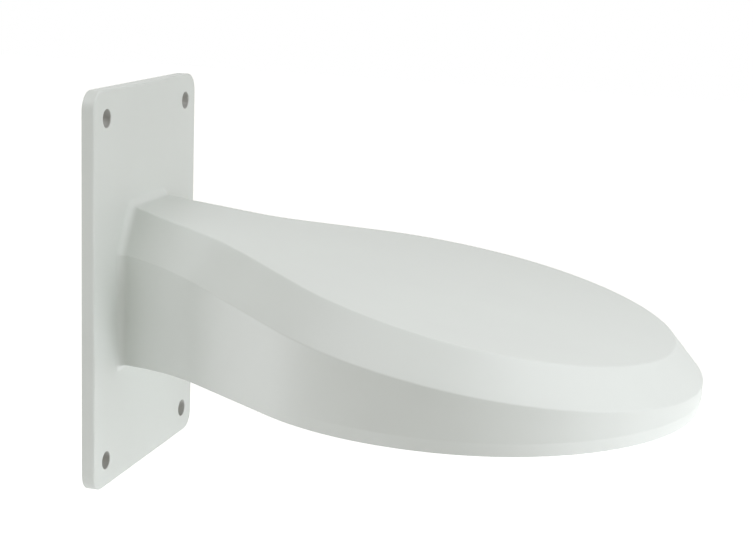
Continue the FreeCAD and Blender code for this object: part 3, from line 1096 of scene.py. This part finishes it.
        count = len(side)
        top_line = root[0, count : count + len(shares)]
        foot_line = root[0, 2 * count + len(shares) :]
        skin = whole(block.half_skin(root[0, :count]))
        shell = Shell()
        shell.grid(skin)
        shell.grid(root, closed=True)
        shell.cap(np.concatenate([skin[-1], top_line]))
        shell.cap(np.concatenate([skin[0], foot_line[::-1]]))
        self.plate.add_to(shell, root[-1])
        return shell

    def inside(self) -> bpy.types.Mesh:
        """The hollow as a solid shape, with the posts and webs already taken out of it.

        Its mouth under the head is turned, with a cone that breaks the seat's edge. It is a hair
        narrower than the room over it, so that the two skins stay apart.

        Returns:
            One closed mesh.
        """
        block = self.hollow()
        skin = whole(block.half_skin(block.column(block.place_at(-self.back_reach))))
        room = Shell()
        room.grid(skin)
        room.cap(skin[0])
        room.cap(skin[-1])
        room.cap(np.concatenate([skin[:, 0], skin[::-1, -1]]))

        seat, lead = self.seat_centre, self.edge_break
        radius, wide = self.recess_radius - self.mouth_clearance, self.recess_radius + 2 * lead
        profile = np.array([[wide, -lead], [radius, lead], [radius, self.floor + 2 * lead]])
        mouth = turned(profile, UP, seat, self.mouth_steps).mesh("mouth")
        room_mesh = combined(room.mesh("room"), [mouth], Operation.ADD)
        ribs = self.posts.post_shapes(seat) + self.posts.web_shapes(seat, self.head_radius)
        return combined(room_mesh, [rib.mesh("rib") for rib in ribs], Operation.CUT)

    def build(self) -> bpy.types.Object:
        """Builds the casting, dresses it and sets it in the frame.

        Returns:
            The finished piece.
        """
        drills = self.plate.screw_tools() + self.posts.hole_tools(self.seat_centre)
        tools = [self.inside()] + [drill.mesh("drill") for drill in drills]
        mesh = combined(self.outside().mesh("outside"), tools, Operation.CUT)
        mesh.name = "casting"
        mesh.shade_smooth()
        mesh.set_sharp_from_angle(angle=math.radians(self.sharp_angle))
        piece = new_object("casting", mesh)
        piece.modifiers.new("even_shading", "WEIGHTED_NORMAL").keep_sharp = True
        mesh.materials.clear()
        mesh.materials.append(self.finish.material(self.plate))
        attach(piece, "root")
        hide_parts(NODE)
        return piece


def seen_directly(tree: bpy.types.NodeTree) -> bpy.types.NodeSocket:
    """A test that is 1 for what the camera sees, straight, in a reflection or through glass.

    Args:
        tree: The nodes of a material or of the surroundings.

    Returns:
        The output that carries the test.
    """
    ray = new_node(tree, "LightPath").outputs
    direct = {0: ray["Is Camera Ray"], 1: ray["Is Glossy Ray"]}
    first = new_node(tree, "Math", direct, Maths.MAXIMUM)
    through = {0: first.outputs["Value"], 1: ray["Is Transmission Ray"]}
    return new_node(tree, "Math", through, Maths.MAXIMUM).outputs["Value"]


@dataclass(frozen=True)
class Lamp:
    """A soft square lamp that looks at a point of the object."""

    name: str
    place: Triple
    aim: Triple
    size: float
    power: float
    colour: Triple = (0.942, 0.947, 1.0)

    def build(self) -> bpy.types.Object:
        """Makes the lamp and turns it towards its aim.

        Returns:
            The lamp.
        """
        light = bpy.data.lights.new(self.name, "AREA")
        light.shape = "SQUARE"
        light.size = self.size
        light.energy = self.power
        light.color = self.colour
        lamp = new_object(self.name, light)
        lamp.location = self.place
        gaze = Vector(self.aim) - Vector(self.place)
        lamp.rotation_euler = gaze.to_track_quat("-Z", "Y").to_euler()
        return lamp


@dataclass(frozen=True)
class Studio:
    """The pale floor, the white surroundings and the soft lamps."""

    floor_height: float = -0.30
    floor_half: float = 4.0
    floor_colour: Triple = (0.9, 0.9, 0.9)
    floor_roughness: float = 0.9
    floor_lift: float = 0.88
    sky_strength: float = 0.205
    sky_colour: Triple = (1.0, 0.937, 0.756)
    lamps: tuple[Lamp, ...] = (
        Lamp("key", (0.36, -0.065, 0.433), MIDDLE, 0.3, 0.906),
        Lamp("fill", (-0.3, -0.5, 0.8), MIDDLE, 0.6, 3.66),
        Lamp("front", (0.595, -0.127, 0.087), MIDDLE, 0.3, 1.023),
        Lamp("back", (-0.85, 0.0, -0.242), MIDDLE, 0.5, 2.56),
        Lamp("lip", (0.35, -0.1, -0.26), (0.2, -0.04, -0.03), 0.2, 0.283),
        Lamp("bounce", (-0.1, -0.35, -0.28), (-0.1, -0.35, 1.0), 0.25, 0.5),
        Lamp("under", (0.3, 0.12, -0.28), (0.3, 0.12, 1.0), 0.25, 0.66),
    )

    def floor(self) -> bpy.types.Object:
        """Makes the floor: a flat square that also glows where the camera sees it.

        Returns:
            The floor, which keeps the object's shadow.
        """
        half, height = self.floor_half, self.floor_height
        corners = [(-half, -half), (half, -half), (half, half), (-half, half)]
        mesh = bpy.data.meshes.new("floor")
        mesh.from_pydata([(x, y, height) for x, y in corners], [], [range(len(corners))])
        material = bpy.data.materials.new("floor")
        material.use_nodes = True
        tree = material.node_tree
        lift = new_node(tree, "Math", {0: seen_directly(tree), 1: self.floor_lift}, Maths.MULTIPLY)
        shader_inputs = {
            "Base Color": (*self.floor_colour, 1.0),
            "Roughness": self.floor_roughness,
            "Emission Color": WHITE,
            "Emission Strength": lift.outputs["Value"],
        }
        feed(tree, tree.nodes["Principled BSDF"], shader_inputs)
        mesh.materials.append(material)
        return new_object("floor", mesh)

    def sky(self) -> None:
        """Makes the surroundings: white to the camera, softer and warmer as a light."""
        world = bpy.data.worlds.new("studio")
        world.use_nodes = True
        tree = world.node_tree
        light, output = tree.nodes["Background"], tree.nodes["World Output"]
        feed(tree, light, {"Color": (*self.sky_colour, 1.0), "Strength": self.sky_strength})
        seen = new_node(tree, "Background", {"Color": WHITE, "Strength": 1.0})
        layers = {
            "Fac": seen_directly(tree),
            1: light.outputs["Background"],
            2: seen.outputs["Background"],
        }
        mix = new_node(tree, "MixShader", layers)
        feed(tree, output, {"Surface": mix.outputs["Shader"]})
        bpy.context.scene.world = world

    def build(self) -> None:
        """Sets up floor, surroundings and lamps."""
        self.floor()
        self.sky()
        for lamp in self.lamps:
            lamp.build()


@dataclass(frozen=True)
class PhotoCamera:
    """The camera at the photograph's viewing angle.

    Frame, focal length and axis are in the photograph's pixels, and the near limit is in metres.
    """

    width: int = 753
    height: int = 554
    focal_pixels: float = 1620.8
    axis_across: float = 373.9
    axis_down: float = 285.0
    place: Triple = (254.8, -571.81, 135.92)
    azimuth: float = 15.434
    elevation: float = 12.478
    roll: float = 2.239
    sensor: float = 36.0
    near_limit: float = 0.01

    def build(self) -> bpy.types.Object:
        """Makes the camera and chooses it for the scene.

        Returns:
            The camera, at its place, looking down by its elevation and turned by its azimuth.
        """
        data = bpy.data.cameras.new("camera")
        data.sensor_width = self.sensor
        data.lens = self.focal_pixels / self.width * self.sensor
        data.shift_x = (self.width / 2 - self.axis_across) / self.width
        data.shift_y = (self.axis_down - self.height / 2) / self.width
        data.clip_start = self.near_limit
        camera = new_object("camera", data)
        camera.matrix_world = (
            Matrix.Translation(Vector(self.place) * MM)
            @ Matrix.Rotation(math.radians(self.azimuth), 4, "Z")
            @ Matrix.Rotation(QUARTER - math.radians(self.elevation), 4, "X")
            @ Matrix.Rotation(math.radians(self.roll), 4, "Z")
        )
        bpy.context.scene.camera = camera
        return camera


def main() -> None:
    """Builds the bracket, the studio and the camera."""
    logging.basicConfig(level=logging.INFO, format="%(name)s: %(message)s")
    bpy.context.scene.view_settings.view_transform = "Standard"
    piece = Casting().build()
    LOG.info("%s: %d faces", piece.name, len(piece.data.polygons))
    Studio().build()
    PhotoCamera().build()


if __name__ == "__main__":
    main()
